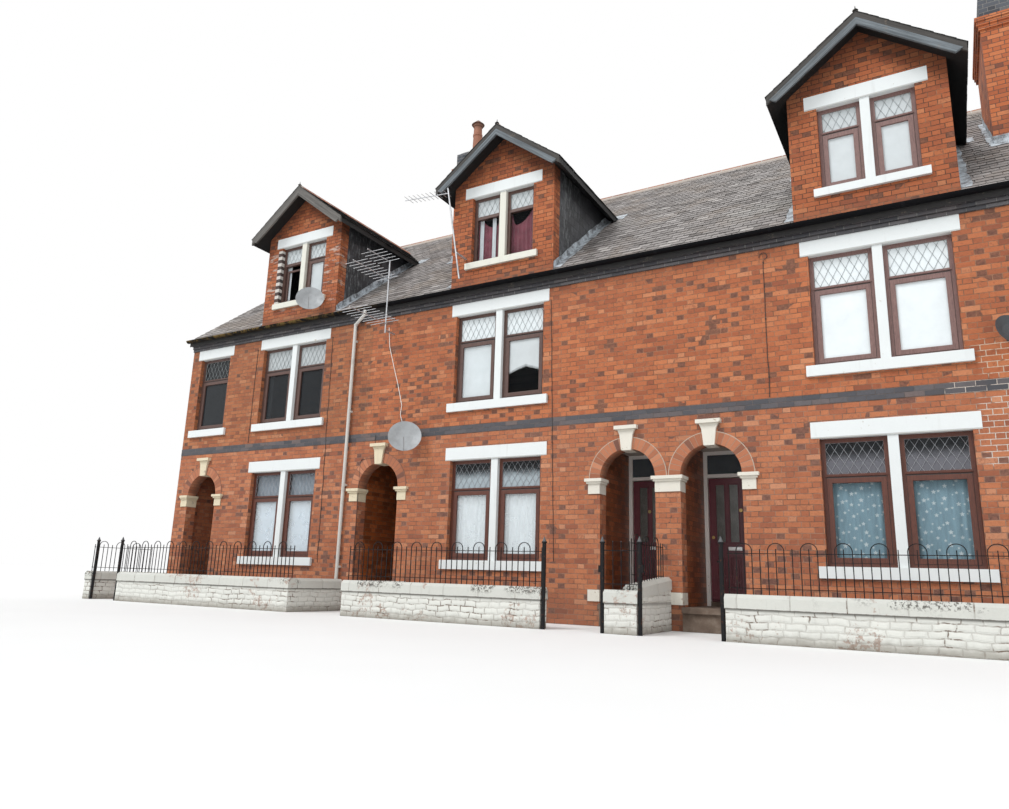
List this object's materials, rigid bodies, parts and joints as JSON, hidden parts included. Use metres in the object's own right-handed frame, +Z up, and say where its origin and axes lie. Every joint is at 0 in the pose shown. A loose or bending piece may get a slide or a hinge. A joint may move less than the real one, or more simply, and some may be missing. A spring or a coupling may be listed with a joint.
{
  "type": "terraced house row",
  "caption": "Brick terraced house row with arched porches, a through passage, gabled dormers, slate roof, chimney stacks and low front walls with iron railings; two front doors swing on hinges.",
  "frame": {"origin": "centre of the plan box, at the level of the lowest ground the walls stand on", "axes": "X along the street front from the free gable end to the cut party end, Y from the street into the building, Z up"},
  "size_m": [18.41, 11.549, 11.539],
  "materials": {
    "red_brick": "weathered orange-red facing brick with thin mortar",
    "dark_brick": "shaded red brick",
    "blue_brick": "blue-grey engineering brick",
    "painted_stone": "white masonry paint",
    "plaster": "plain plaster",
    "floor_boards": "plain boards",
    "slate": "grey-brown natural slate",
    "red_clay": "red clay",
    "tarred_slate": "dark tarred slate",
    "grey_boards": "weathered grey paint",
    "brown_frames": "mahogany brown foil",
    "window_glass": "clear glass",
    "net_curtain": "white net",
    "pale_frames": "pale paint",
    "maroon_paint": "maroon paint",
    "step_stone": "worn stone",
    "black_gutter": "black plastic",
    "pale_pipe": "pale paint",
    "painted_brick": "white masonry paint on brick",
    "black_iron": "black paint",
    "dish_metal": "pale grey metal"
  },
  "bodies": {
    "houses": {"wall_piers": "red_brick", "arch_walls": "red_brick", "wall_panels": "red_brick", "band_course": "blue_brick", "eaves_course": "blue_brick", "end_walls": "red_brick", "inner_walls": "dark_brick", "porch_heads": "plaster", "ground_floors": "floor_boards", "upper_floors": "floor_boards", "lintels": "painted_stone", "sills": "painted_stone", "mullions": "painted_stone", "arch_rings": "red_brick", "arch_stones": "painted_stone", "roof_front": "slate", "roof_upper": "slate", "roof_rear": "slate", "ridge_tiles": "red_clay", "dormer_piers": "red_brick", "dormer_panels": "red_brick", "dormer_cheeks": "tarred_slate", "dormer_roof_left": "slate", "dormer_roof_right": "slate", "bargeboards": "grey_boards", "window_frames": "brown_frames", "window_glass": "window_glass", "curtains": "net_curtain", "door_frames": "pale_frames", "fixed_doors": "maroon_paint", "porch_steps": "step_stone", "gutters": "black_gutter", "rain_pipes": "pale_pipe", "chimney_stacks": "red_brick", "chimney_pots": "red_clay", "front_walls": "painted_brick", "copings": "painted_brick", "railings": "black_iron", "gate_posts": "black_iron", "satellite_dishes": "dish_metal", "aerials": "dish_metal"},
    "right_door": {"right_door": "maroon_paint"},
    "middle_door": {"middle_door": "maroon_paint"}
  },
  "joints": [
    {"name": "right_door_hinge", "type": "hinge", "parent": "houses", "child": "right_door", "pos_m": [3.594, -2.8085, 1.42], "axis": [0, 0, 1], "range_deg": [0, 90]},
    {"name": "middle_door_hinge", "type": "hinge", "parent": "houses", "child": "middle_door", "pos_m": [3.076, -2.8085, 1.42], "axis": [0, 0, 1], "range_deg": [-90, 0]}
  ]
}
